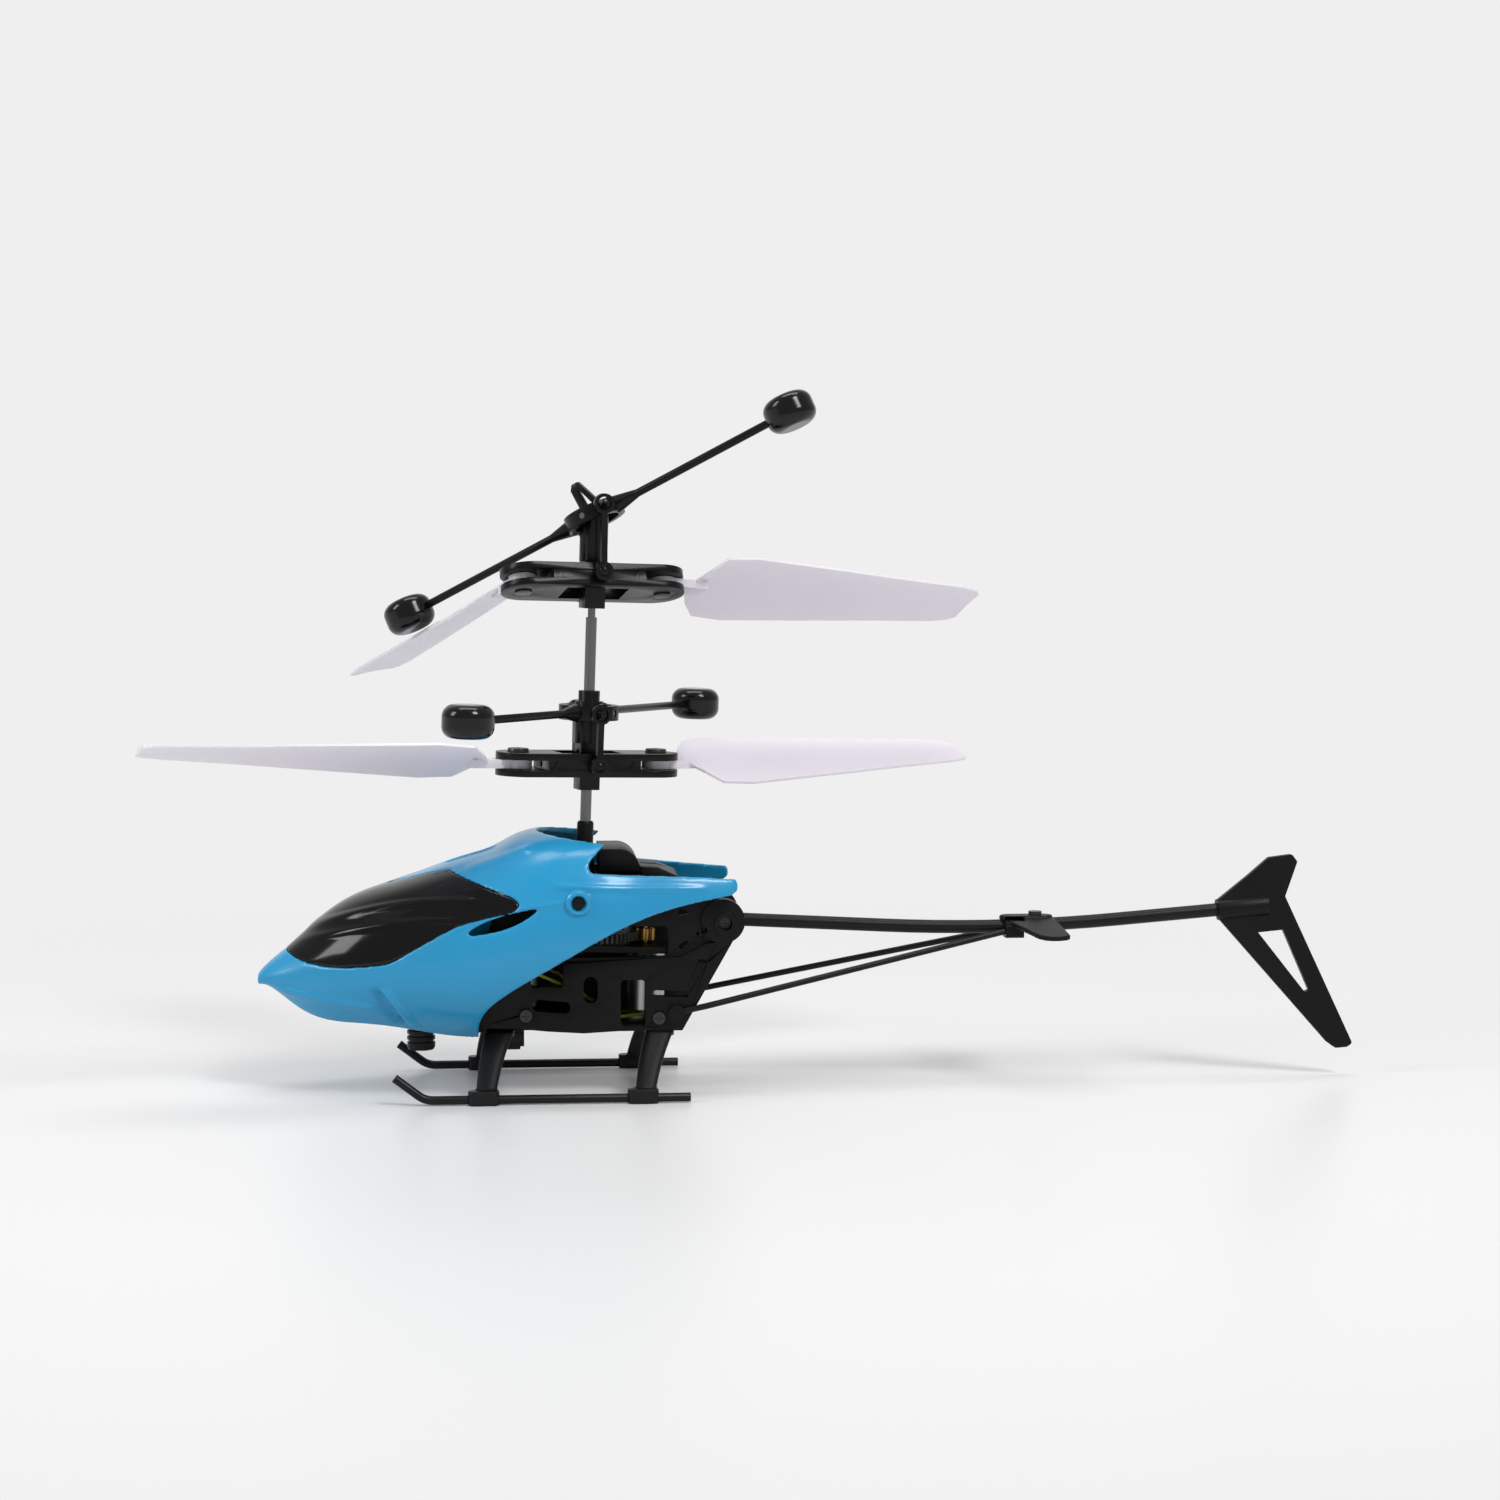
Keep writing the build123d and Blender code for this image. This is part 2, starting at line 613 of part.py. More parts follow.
def leg_pair(top_x, foot_x, pad_x):
    with BuildPart() as legs:
        for side in (-1, 1):
            loft(sections=[
                leg_section(10.25, top_x, side * 7.9, 2.3, 1.3),
                leg_section(6.0, (top_x + foot_x) / 2 - 0.3, side * 12.3, 1.95, 1.15),
                leg_section(1.6, foot_x, side * 16.7, 1.65, 1.0),
            ])
            with BuildSketch():
                with Locations((pad_x, side * SKID_Y)):
                    RectangleRounded(PAD_SIZE[0], PAD_SIZE[1], 1.0)
            extrude(amount=PAD_SIZE[2])
            with BuildSketch(Plane.YZ.offset(pad_x - 5)):
                with Locations((side * SKID_Y, SKID_Z)):
                    Circle(SKID_R)
            extrude(amount=10, mode=Mode.SUBTRACT)
        with BuildSketch(Plane.XY.offset(9.4)):
            with Locations((top_x, 0)):
                RectangleRounded(4.6, 17.6, 1.0)
        extrude(amount=0.85)
    return legs.part


pieces["front_legs"] = leg_pair(-14.2, -16.5, FRONT_PAD_X)
pieces["rear_legs"] = leg_pair(11.7, 8.9, REAR_PAD_X)

with BuildPart() as skids:
    for side in (-1, 1):
        with BuildLine() as skid_path:
            FilletPolyline((SKID_BACK_X, side * SKID_Y, SKID_Z), (-26.2, side * SKID_Y, SKID_Z),
                           (-31.0, side * SKID_Y, 4.5), radius=4.0)
        with BuildSketch(Plane(skid_path.line @ 0, z_dir=skid_path.line % 0)):
            Circle(SKID_R)
        sweep(path=skid_path.line)
pieces["skids"] = skids.part

# ======================= inside and under the nose =======================
with BuildPart() as battery:
    with BuildSketch(Plane.YZ.offset(-35.1)):
        with Locations((0, 16.25)):
            RectangleRounded(11.4, 5.4, 1.2)
    extrude(amount=18.4)
pieces["battery"] = battery.part

with BuildPart() as circuit_board:
    with BuildSketch(Plane.XY.offset(19.4)):
        with Locations((-26.5, 0)):
            Rectangle(20.0, 12.0)
    extrude(amount=0.8)
pieces["circuit_board"] = circuit_board.part

with BuildPart() as board_chips:
    for x, y, length, width, height in (
        (-29.0, 1.0, 5.0, 5.0, 1.1),
        (-22.5, -3.0, 3.0, 2.4, 1.0),
        (-22.5, 2.6, 3.6, 2.4, 1.0),
        (-34.0, -3.2, 2.6, 3.4, 0.9),
        (-18.0, 0.0, 1.6, 7.0, 2.0),
    ):
        with BuildSketch(Plane.XY.offset(20.2)):
            with Locations((x, y)):
                Rectangle(length, width)
        extrude(amount=height)
pieces["board_chips"] = board_chips.part

with BuildPart() as receiver_housing:
    with BuildSketch(Plane.XY.offset(6.3)):
        with Locations((-27.0, 0)):
            Circle(2.3)
    extrude(amount=5.8)
    fillet(receiver_housing.edges().sort_by(Axis.Z)[0], 0.4)
pieces["receiver_housing"] = receiver_housing.part

with BuildPart() as nose_lamp:
    with BuildSketch(LAMP.offset(-1.6)):
        Circle(1.1)
    extrude(amount=2.4)
    fillet(nose_lamp.edges().sort_by(Axis.Z)[0], 0.5)
pieces["nose_lamp"] = nose_lamp.part

with BuildPart() as switch_housing:
    with BuildSketch(Plane.XY.offset(9.3)):
        with Locations((-19.6, 0)):
            Rectangle(5.6, 4.4)
        with Locations((-19.7, 0)):
            Rectangle(4.2, 2.2, mode=Mode.SUBTRACT)
    extrude(amount=1.6)
    with BuildSketch(Plane.XY.offset(10.9)):
        with Locations((-19.6, 0)):
            Rectangle(5.6, 4.4)
    extrude(amount=1.2)
pieces["switch_housing"] = switch_housing.part

with BuildPart() as switch_knob:
    with BuildSketch(Plane.XZ.offset(-1.0)):
        with BuildLine():
            teeth = [(KNOB_X - 0.9 + 0.45 * i, 8.3 + (0.35 if i % 2 else 0.0)) for i in range(5)]
            Polyline((KNOB_X - 0.9, 10.7), *teeth, (KNOB_X + 0.9, 10.7), close=True)
        make_face()
    extrude(amount=2.0)
pieces["switch_knob"] = switch_knob.part

with BuildPart() as charge_socket:
    with BuildSketch(Plane.XZ.offset(-2.6)):
        with BuildLine():
            Polyline((-16.4, 6.5), (-10.9, 6.5), (-10.3, 9.4), (-16.4, 9.4), close=True)
        make_face()
    extrude(amount=5.2)
    with BuildSketch(Plane.YZ.offset(-15.4)):
        with Locations((0, SOCKET_Z)):
            Circle(SOCKET_R + 0.35)
    extrude(amount=SOCKET_DEPTH)
    with BuildSketch(Plane.YZ.offset(-15.4)):
        with Locations((0, SOCKET_Z)):
            Circle(SOCKET_R)
    extrude(amount=SOCKET_DEPTH, mode=Mode.SUBTRACT)
pieces["charge_socket"] = charge_socket.part


def motor(frame):
    with BuildPart() as can:
        with BuildSketch(frame.offset(-MOTOR_LENGTH)):
            Circle(MOTOR_R)
        extrude(amount=MOTOR_LENGTH)
        with BuildSketch(frame):
            Circle(1.5)
        extrude(amount=0.9)
        with BuildSketch(frame.offset(-4)):
            Circle(MOTOR_SHAFT_R + RUN_CLEARANCE)
        extrude(amount=6, mode=Mode.SUBTRACT)
    return can.part


FRONT_MOTOR = place(MAST, x=-GEAR_CENTRES, z=GEAR_DECK_H)
REAR_MOTOR = place(MAST, x=GEAR_CENTRES, z=GEAR_DECK_H)
pieces["front_motor"] = motor(FRONT_MOTOR)
pieces["rear_motor"] = motor(REAR_MOTOR)

LEADS = {
    "front_motor": [(-11.2, 3.75, 14.4), (-11.2, 5.0, 14.4), (-11.4, 5.9, 16.0), (-12.2, 5.9, 19.0),
                    (-14.2, 5.2, 19.9), (-16.5, 4.6, 19.8)],
    "rear_motor": [(9.4, 1.0, 11.85), (5.0, 3.4, 11.8), (0.4, 5.9, 13.6), (-4.2, 6.0, 17.6),
                   (-8.6, 6.1, 19.6), (-11.0, 5.9, 21.4), (-14.0, 3.8, 21.8), (-16.95, 2.4, 21.4)],
}
with BuildPart() as motor_leads:
    for points in LEADS.values():
        for side in (-1, 1):
            with BuildLine() as lead_path:
                FilletPolyline(*[(x, side * y, z) for x, y, z in points], radius=0.55)
            with BuildSketch(Plane(lead_path.line @ 0, z_dir=lead_path.line % 0)):
                Circle(0.28)
            sweep(path=lead_path.line)
pieces["motor_leads"] = motor_leads.part


# ======================= drive =======================
def toothed_wheel(frame, teeth, root, tip, root_half, tip_half, height, turn):
    """A toothed disc whose teeth stand at turn, turn + pitch and so on. The half widths are angles."""
    pitch = 360 / teeth
    points = []
    for i in range(teeth):
        for radius, offset in ((root, -root_half), (tip, -tip_half), (tip, tip_half), (root, root_half)):
            angle = radians(turn + i * pitch + offset)
            points.append((radius * cos(angle), radius * sin(angle)))
    with BuildPart() as wheel:
        with BuildSketch(frame):
            with BuildLine():
                Polyline(*points, close=True)
            make_face()
        extrude(amount=height)
    return wheel.part


def main_gear(height, bore, hub_low, hub_high):
    with BuildPart() as gear:
        add(toothed_wheel(place(MAST, z=height), GEAR_TEETH, 8.6, 9.22, 1.75, 0.9, GEAR_FACE, 0.0))
        with BuildSketch(MAST.offset(height)):
            with PolarLocations(5.3, 6):
                Circle(1.7)
        extrude(amount=GEAR_FACE, mode=Mode.SUBTRACT)
        with BuildSketch(MAST.offset(hub_low)):
            Circle(1.9)
        extrude(amount=hub_high - hub_low)
        with BuildSketch(MAST.offset(hub_low - 1)):
            Circle(bore)
        extrude(amount=8, mode=Mode.SUBTRACT)
    return gear.part


def pinion(frame, low, high, turn):
    with BuildPart() as small:
        add(toothed_wheel(place(frame, z=low), PINION_TEETH, 1.0, 1.6, 12.5, 5.0, high - low, turn))
        with BuildSketch(frame.offset(-3.0)):
            Circle(MOTOR_SHAFT_R)
        extrude(amount=high + 3.3)
    return small.part


inner_rise = INNER_GEAR_H - GEAR_DECK_H
outer_rise = OUTER_GEAR_H - GEAR_DECK_H
pieces["inner_shaft_gear"] = main_gear(INNER_GEAR_H, INNER_SHAFT_R, INNER_GEAR_H - 0.2, INNER_GEAR_H + 1.9)
pieces["outer_shaft_gear"] = main_gear(OUTER_GEAR_H, OUTER_SHAFT_R, OUTER_GEAR_H - 0.3, OUTER_GEAR_H + 2.2)
pieces["rear_pinion"] = pinion(REAR_MOTOR, inner_rise - 0.2, inner_rise + 1.7, 0.0)
pieces["front_pinion"] = pinion(FRONT_MOTOR, outer_rise - 0.3, outer_rise + 1.7, 20.0)

with BuildPart() as inner_shaft:
    with BuildSketch(MAST.offset(GEAR_DECK_H - 1.0)):
        Circle(INNER_SHAFT_R)
    extrude(amount=UPPER_FLYBAR_H + 0.8 - GEAR_DECK_H + 1.0)
pieces["inner_shaft"] = inner_shaft.part

with BuildPart() as outer_shaft:
    with BuildSketch(MAST.offset(OUTER_GEAR_H - 0.3)):
        Circle(OUTER_SHAFT_R)
        Circle(OUTER_SHAFT_BORE_R, mode=Mode.SUBTRACT)
    extrude(amount=77.0 - OUTER_GEAR_H + 0.3)
pieces["outer_shaft"] = outer_shaft.part


# ======================= rotors =======================
def rotor_head(hub, flybar_rise, turn, bore, domed):
    """The block on the shaft: square through the blade holder, round through the flybar's ring."""
    with BuildPart() as head:
        with BuildSketch(hub.offset(-4.2)):
            Rectangle(2 * HEAD_HALF, 2 * HEAD_HALF)
        extrude(amount=7.8)
        with BuildSketch(hub.offset(3.4)):
            Circle(HEAD_R)
        extrude(amount=flybar_rise + 1.8 - 3.4)
        if domed:
            fillet(head.edges().filter_by(GeomType.CIRCLE).sort_by(Axis.Z)[-1], 1.4)
        else:
            with BuildSketch(hub.offset(flybar_rise + 1.8)):
                Circle(1.75)
            extrude(amount=1.7)
        with BuildSketch(hub.offset(-8)):
            Circle(bore)
        extrude(amount=8 + flybar_rise + (0.8 if domed else 4.0), mode=Mode.SUBTRACT)
        for side in (-1, 1):
            with BuildSketch(facing_x(hub, side * (HEAD_HALF + 1.0) - 1.0 + 0.3 * -side)):
                Circle(PIVOT_PIN_R)
            extrude(amount=2.0, mode=Mode.SUBTRACT)
            pivot = place(hub, z=flybar_rise, rz=turn)
            with BuildSketch(facing_y(pivot, 0, side * (HEAD_R + 1.0) - 1.0 - 0.6 * side)):
                Circle(PIVOT_PIN_R)
            extrude(amount=2.0, mode=Mode.SUBTRACT)
    return head.part


def head_pins(hub, flybar_rise, turn):
    """Two stub pins for the blade holder, along its length, and two for the flybar, across it."""
    with BuildPart() as pins:
        for side in (-1, 1):
            near, far = HEAD_HALF - 0.3, 6.9
            with BuildSketch(facing_x(hub, near if side > 0 else -far)):
                Circle(PIVOT_PIN_R)
            extrude(amount=far - near)
            near, far = HEAD_R - 0.6, 4.7
            with BuildSketch(facing_y(place(hub, z=flybar_rise, rz=turn), 0, near if side > 0 else -far)):
                Circle(PIVOT_PIN_R)
            extrude(amount=far - near)
    return pins.part


def blade_holder(frame):
    web_x = 6.5
    with BuildPart() as holder:
        for low in (HOLDER_GAP / 2, -HOLDER_GAP / 2 - HOLDER_PLATE):
            with BuildSketch(frame.offset(low)):
                SlotOverall(HOLDER_LENGTH, HOLDER_WIDTH)
                Rectangle(10.4, 6.0, mode=Mode.SUBTRACT)
                with Locations((BLADE_PIN_X, 0), (-BLADE_PIN_X, 0)):
                    Circle(BLADE_PIN_R, mode=Mode.SUBTRACT)
            extrude(amount=HOLDER_PLATE)
        for side in (-1, 1):
            with BuildSketch(frame.offset(-1.5)):
                with Locations((side * web_x, 0)):
                    Rectangle(2.6, 7.4)
                with Locations((0, side * 3.85)):
                    Rectangle(15.6, 1.1)
            extrude(amount=3.0)
            with BuildSketch(facing_y(frame, 0, 3.4 if side > 0 else -LINK_ARM_HOLDER)):
                Circle(STUD_R)
            extrude(amount=LINK_ARM_HOLDER - 3.4)
            with BuildSketch(facing_y(frame, 0, 4.0 if side > 0 else -5.1)):
                Circle(0.95)
            extrude(amount=1.1)
            with Locations(frame.location * Location((0, side * LINK_ARM_HOLDER, 0))):
                Sphere(BALL_R)
            for rib in (-1, 1):
                with BuildSketch(facing_y(frame, 0, 4.2 if side > 0 else -4.6)):
                    with Locations((rib * 6.5, 0)):
                        Rectangle(0.5, 3.6, rotation=35)
                extrude(amount=0.4)
        with BuildSketch(facing_x(frame, -10)):
            Circle(PIVOT_PIN_R + RUN_CLEARANCE)
        extrude(amount=20, mode=Mode.SUBTRACT)
    return holder.part


def blade_bolts(frame):
    top = HOLDER_GAP / 2 + HOLDER_PLATE
    with BuildPart() as bolts:
        for side in (-1, 1):
            at = place(frame, x=side * BLADE_PIN_X)
            with BuildSketch(at.offset(-top - 0.2)):
                Circle(BLADE_PIN_R)
            extrude(amount=2 * top + 0.3)
            with BuildSketch(at.offset(top)):
                Circle(1.8)
            extrude(amount=BOLT_HEAD, taper=12)
            with BuildSketch(at.offset(-top - 0.2)):
                Circle(1.4)
            extrude(amount=0.2)
            with BuildSketch(at.offset(top + BOLT_HEAD / 2)):
                Rectangle(2.2, 0.4)
                Rectangle(0.4, 2.2)
            extrude(amount=BOLT_HEAD, mode=Mode.SUBTRACT)
    return bolts.part


# Blade stations: distance from the pin, chord, pitch.
BLADE_SECTIONS = [
    (5.6, 4.0, 6.0), (7.0, 9.8, 16.0), (9.2, 14.6, 23.0), (15.0, 15.4, 24.5), (30.0, 14.1, 21.0),
    (46.0, 12.4, 17.0), (57.0, 11.3, 14.6), (60.2, 10.0, 14.0), (BLADE_LENGTH, 7.8, 13.8),
]


def blade_section(frame, x, chord, pitch):
    """A thin cambered section across the blade, at x from its pin."""
    plane = place(frame, x=x, z=x * tan(radians(BLADE_CONE)), ry=90, rz=90 + pitch)
    edge, camber = 0.2, 0.045 * chord
    with BuildSketch(plane) as section:
        with BuildLine():
            Line((chord / 2, -edge), (chord / 2, edge))
            ThreePointArc((chord / 2, edge), (0, camber + BLADE_SKIN / 2), (-chord / 2, edge))
            Line((-chord / 2, edge), (-chord / 2, -edge))
            ThreePointArc((-chord / 2, -edge), (0, camber - BLADE_SKIN / 2), (chord / 2, -edge))
        make_face()
    return section.sketch


def blade(pin_frame, hand):
    """hand is 1 for a rotor that turns anticlockwise seen from above, -1 for clockwise."""
    with BuildPart() as one:
        sections = [blade_section(pin_frame, x, chord, hand * pitch) for x, chord, pitch in BLADE_SECTIONS]
        loft(sections=sections, ruled=True)
        with BuildSketch(pin_frame.offset(-BLADE_ROOT / 2)):
            Circle(2.3)
            with Locations((4.0, 0)):
                Rectangle(8.0, 3.6)
        extrude(amount=BLADE_ROOT)
        with BuildSketch(pin_frame.offset(-5)):
            Circle(BLADE_PIN_R + RUN_CLEARANCE)
        extrude(amount=10, mode=Mode.SUBTRACT)
    return one.part


def flybar(frame, phase_sign, looped):
    """Ring round the head, two bosses with their rods and the two studs that drive the links."""
    with BuildPart() as bar:
        with BuildSketch(frame.offset(-RING_HEIGHT / 2)):
            Circle(RING_OUT)
        extrude(amount=RING_HEIGHT)
        for side in (-1, 1):
            start = 4.3
            with BuildSketch(facing_x(frame, side * start)):
                Circle(1.5)
            with BuildSketch(facing_x(frame, side * 8.6)):
                Circle(FLYBAR_ROD_R)
            loft()
            with BuildSketch(facing_x(frame, 8.5 if side > 0 else -FLYBAR_HALF + 2)):
                Circle(FLYBAR_ROD_R)
            extrude(amount=FLYBAR_HALF - 10.5)
            arm = place(frame, rz=90 * side - phase_sign * FLYBAR_PHASE)
            with BuildSketch(facing_x(arm, 4.2)):
                Circle(0.8)
            extrude(amount=0.9)
            with BuildSketch(facing_x(arm, 5.0)):
                Circle(STUD_R)
            extrude(amount=2.6)
        if looped:
            with BuildSketch(facing_y(frame, 0, 3.2)):
                with BuildLine():
                    Polyline((-3.1, 0), (-3.6, -6.2), (-3.0, -7.1), (-1.9, -7.1), (1.5, 0), close=True)
                make_face()
                with BuildLine():
                    Polyline((-1.9, -1.4), (-2.4, -5.7), (-2.1, -5.7), (-0.3, -1.4), close=True)
                make_face(mode=Mode.SUBTRACT)
            extrude(amount=1.1)
        with BuildSketch(frame.offset(-RING_HEIGHT / 2)):
            Circle(RING_IN)
        extrude(amount=RING_HEIGHT, mode=Mode.SUBTRACT)
        with BuildSketch(facing_y(frame, 0, -6)):
            Circle(PIVOT_PIN_R + RUN_CLEARANCE)
        extrude(amount=12, mode=Mode.SUBTRACT)
    return bar.part


def flybar_weights(frame):
    with BuildPart() as weights:
        for side in (-1, 1):
            with BuildSketch(place(frame, x=side * FLYBAR_HALF, z=-WEIGHT_HEIGHT / 2)):
                Circle(WEIGHT_R)
            extrude(amount=WEIGHT_HEIGHT)
        fillet(weights.edges().filter_by(GeomType.CIRCLE), 1.9)
        for side in (-1, 1):
            with BuildSketch(facing_x(frame, 30 if side > 0 else -FLYBAR_HALF + 2)):
                Circle(FLYBAR_ROD_R)
            extrude(amount=FLYBAR_HALF - 32, mode=Mode.SUBTRACT)
    return weights.part


def link_ends(holder, flybar_frame, phase_sign, side):
    """The holder's ball and the flybar's stud, which a link joins. side 1 is the holder's +y side."""
    low = (holder.location * Location((0, side * LINK_ARM_HOLDER, 0))).position
    azimuth = radians(90 * side - phase_sign * FLYBAR_PHASE)
    stud = (LINK_ARM_FLYBAR * cos(azimuth), LINK_ARM_FLYBAR * sin(azimuth), 0)
    return low, (flybar_frame.location * Location(stud)).position


def link(low, high, hub):
    span = high - low
    frame = Plane(low, x_dir=hub.x_dir, z_dir=span)
    with BuildPart() as rod:
        with BuildSketch(facing_y(frame, 0, -0.6)):
            Circle(1.5)
        extrude(amount=1.2)
        with BuildSketch(facing_y(frame, 0, -0.5, span.length)):
            Circle(1.65)
        extrude(amount=1.0)
        with BuildSketch(frame):
            Rectangle(1.0, 0.9)
        extrude(amount=span.length)
        with Locations(Location(low)):
            Sphere(BALL_R + RUN_CLEARANCE, mode=Mode.SUBTRACT)
        with BuildSketch(facing_y(frame, 0, -2, span.length)):
            Circle(1.12)
        extrude(amount=4, mode=Mode.SUBTRACT)
    return rod.part


ROTORS = {
    "lower": dict(hub=LOWER_HUB, holder=LOWER_HOLDER, flybar=LOWER_FLYBAR, rise=LOWER_FLYBAR_H - LOWER_HUB_H,
                  hand=1, phase=1, bore=OUTER_SHAFT_R, lags=(13.0, 0.0)),
    "upper": dict(hub=UPPER_HUB, holder=UPPER_HOLDER, flybar=UPPER_FLYBAR, rise=UPPER_FLYBAR_H - UPPER_HUB_H,
                  hand=-1, phase=-1, bore=INNER_SHAFT_R, lags=(12.0, -80.0)),
}
for name, rotor in ROTORS.items():
    top = name == "upper"
    turn = rotor["phase"] * FLYBAR_PHASE
    pieces[f"{name}_head"] = rotor_head(rotor["hub"], rotor["rise"], turn, rotor["bore"], top)
    pieces[f"{name}_head_pins"] = head_pins(rotor["hub"], rotor["rise"], turn)
    pieces[f"{name}_blade_holder"] = blade_holder(rotor["holder"])
    pieces[f"{name}_blade_bolts"] = blade_bolts(rotor["holder"])
    pieces[f"{name}_flybar"] = flybar(rotor["flybar"], rotor["phase"], top)
    pieces[f"{name}_flybar_weights"] = flybar_weights(rotor["flybar"])
    for side, label, lag in ((1, "right", rotor["lags"][0]), (-1, "left", rotor["lags"][1])):
        at_pin = place(rotor["holder"], x=side * BLADE_PIN_X, rz=lag + (0 if side > 0 else 180))
        pieces[f"{name}_{label}_blade"] = blade(at_pin, rotor["hand"])
    for side, label in ((-1, "near"), (1, "far")):
        low, high = link_ends(rotor["holder"], rotor["flybar"], rotor["phase"], side)
        pieces[f"{name}_{label}_link"] = link(low, high, rotor["hub"])

# ======================= write =======================
os.makedirs("parts", exist_ok=True)
for node, piece in pieces.items():
    piece.label = node
    export_step(piece, f"parts/{node}.step")
print(len(pieces), "nodes")
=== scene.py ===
import json
import math

import bmesh
import bpy
from mathutils import Matrix, Vector


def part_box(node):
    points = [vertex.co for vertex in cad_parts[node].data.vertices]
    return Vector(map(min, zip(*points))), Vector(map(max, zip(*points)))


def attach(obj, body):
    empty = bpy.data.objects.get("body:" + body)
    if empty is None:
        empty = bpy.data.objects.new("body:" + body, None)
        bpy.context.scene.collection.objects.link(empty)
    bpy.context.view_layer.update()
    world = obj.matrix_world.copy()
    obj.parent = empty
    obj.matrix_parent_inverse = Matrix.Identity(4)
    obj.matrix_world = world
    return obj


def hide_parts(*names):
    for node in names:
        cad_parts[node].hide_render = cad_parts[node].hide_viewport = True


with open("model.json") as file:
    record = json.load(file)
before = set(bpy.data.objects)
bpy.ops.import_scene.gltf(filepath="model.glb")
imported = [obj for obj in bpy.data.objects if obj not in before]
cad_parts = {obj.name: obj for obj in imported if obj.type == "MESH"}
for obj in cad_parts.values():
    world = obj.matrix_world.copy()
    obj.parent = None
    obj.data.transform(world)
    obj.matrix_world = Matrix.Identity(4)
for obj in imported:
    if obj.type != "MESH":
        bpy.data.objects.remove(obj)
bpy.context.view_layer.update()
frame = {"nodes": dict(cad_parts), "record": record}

MM = 0.001

# camera: place in metres, turn and dip in degrees, lens and sensor in millimetres
CAMERA_AT = (-18.05 * MM, -548.1 * MM, 96.0 * MM)
CAMERA_TURN = -4.7
CAMERA_DIP = 4.25
CAMERA_LENS = 80.7
CAMERA_SENSOR = 36

# studio: brightness of the backdrop, of the room round it and of the paper
BACKDROP = 0.863
ROOM = 0.42
PAPER = 0.70
PAPER_CLEAR = 0.10
PAPER_FADE = 0.30
FLOOR_HALF = 6.0
FLOOR_DROP = 0.02 * MM
AIM = (0.0, 0, 0.05)
LIGHTS = {
    "key": ((0.45, -0.60, 0.85), (0.30, 0.40), 6.6),
    "fill": ((-0.85, -0.25, 0.55), (0.30, 0.50), 3.6),
    "top": ((0.0, 0.10, 1.1), (0.8, 0.35), 4.3),
}

# surface detail of a material: heights of the fine grain and the slow swell, and the spread of roughness
GRAIN_HEIGHT = 0.02 * MM
SWELL_HEIGHT = 0.3 * MM
ROUGH_SPREAD = 0.05


# ---------------------------------------------------------------- materials
class Finish:
    """A node material: mottled colour, uneven roughness, and a fine bump with an optional slow swell."""

    def __init__(self, name, colour, rough, metal=0.0, mottle=0.06, grain=900.0, bump=0.05, wave=60.0,
                 swell=0.0, **sockets):
        self.material = bpy.data.materials.new(name)
        self.material.use_nodes = True
        self.nodes = self.material.node_tree.nodes
        self.links = self.material.node_tree.links
        self.shader = self.nodes["Principled BSDF"]
        self.shader.inputs["Metallic"].default_value = metal
        for socket, value in sockets.items():
            self.shader.inputs[socket.replace("_", " ")].default_value = value
        self.place = self.nodes.new("ShaderNodeTexCoord").outputs["Object"]
        darker, lighter = self.shade(colour, 1 - mottle), self.shade(colour, 1 + mottle)
        self.colour = self.mix(self.noise(wave, 3.0), darker, lighter)
        self.links.new(self.colour, self.shader.inputs["Base Color"])
        spread = self.nodes.new("ShaderNodeMapRange")
        spread.inputs["To Min"].default_value = max(0.02, rough - ROUGH_SPREAD)
        spread.inputs["To Max"].default_value = rough + ROUGH_SPREAD
        self.links.new(self.noise(wave * 4, 4.0), spread.inputs["Value"])
        self.links.new(spread.outputs["Result"], self.shader.inputs["Roughness"])
        fine = self.bump(self.noise(grain, 3.0), bump, GRAIN_HEIGHT)
        if swell:
            fine = self.bump(self.noise(wave, 1.0), swell, SWELL_HEIGHT, fine)
        self.links.new(fine, self.shader.inputs["Normal"])

    @staticmethod
    def shade(colour, factor):
        return tuple(min(1.0, c * factor) for c in colour) + (1.0,)

    def noise(self, scale, detail):
        node = self.nodes.new("ShaderNodeTexNoise")
        node.inputs["Scale"].default_value = scale
        node.inputs["Detail"].default_value = detail
        self.links.new(self.place, node.inputs["Vector"])
        return node.outputs["Fac"]

    def mix(self, factor, first, second):
        node = self.nodes.new("ShaderNodeMix")
        node.data_type = "RGBA"
        self.links.new(factor, node.inputs["Factor"])
        for socket, value in ((node.inputs[6], first), (node.inputs[7], second)):
            if isinstance(value, tuple):
                socket.default_value = value
            else:
                self.links.new(value, socket)
        return node.outputs[2]

    def bump(self, height, strength, distance, under=None):
        node = self.nodes.new("ShaderNodeBump")
        node.inputs["Strength"].default_value = strength
        node.inputs["Distance"].default_value = distance
        self.links.new(height, node.inputs["Height"])
        if under:
            self.links.new(under, node.inputs["Normal"])
        return node.outputs["Normal"]


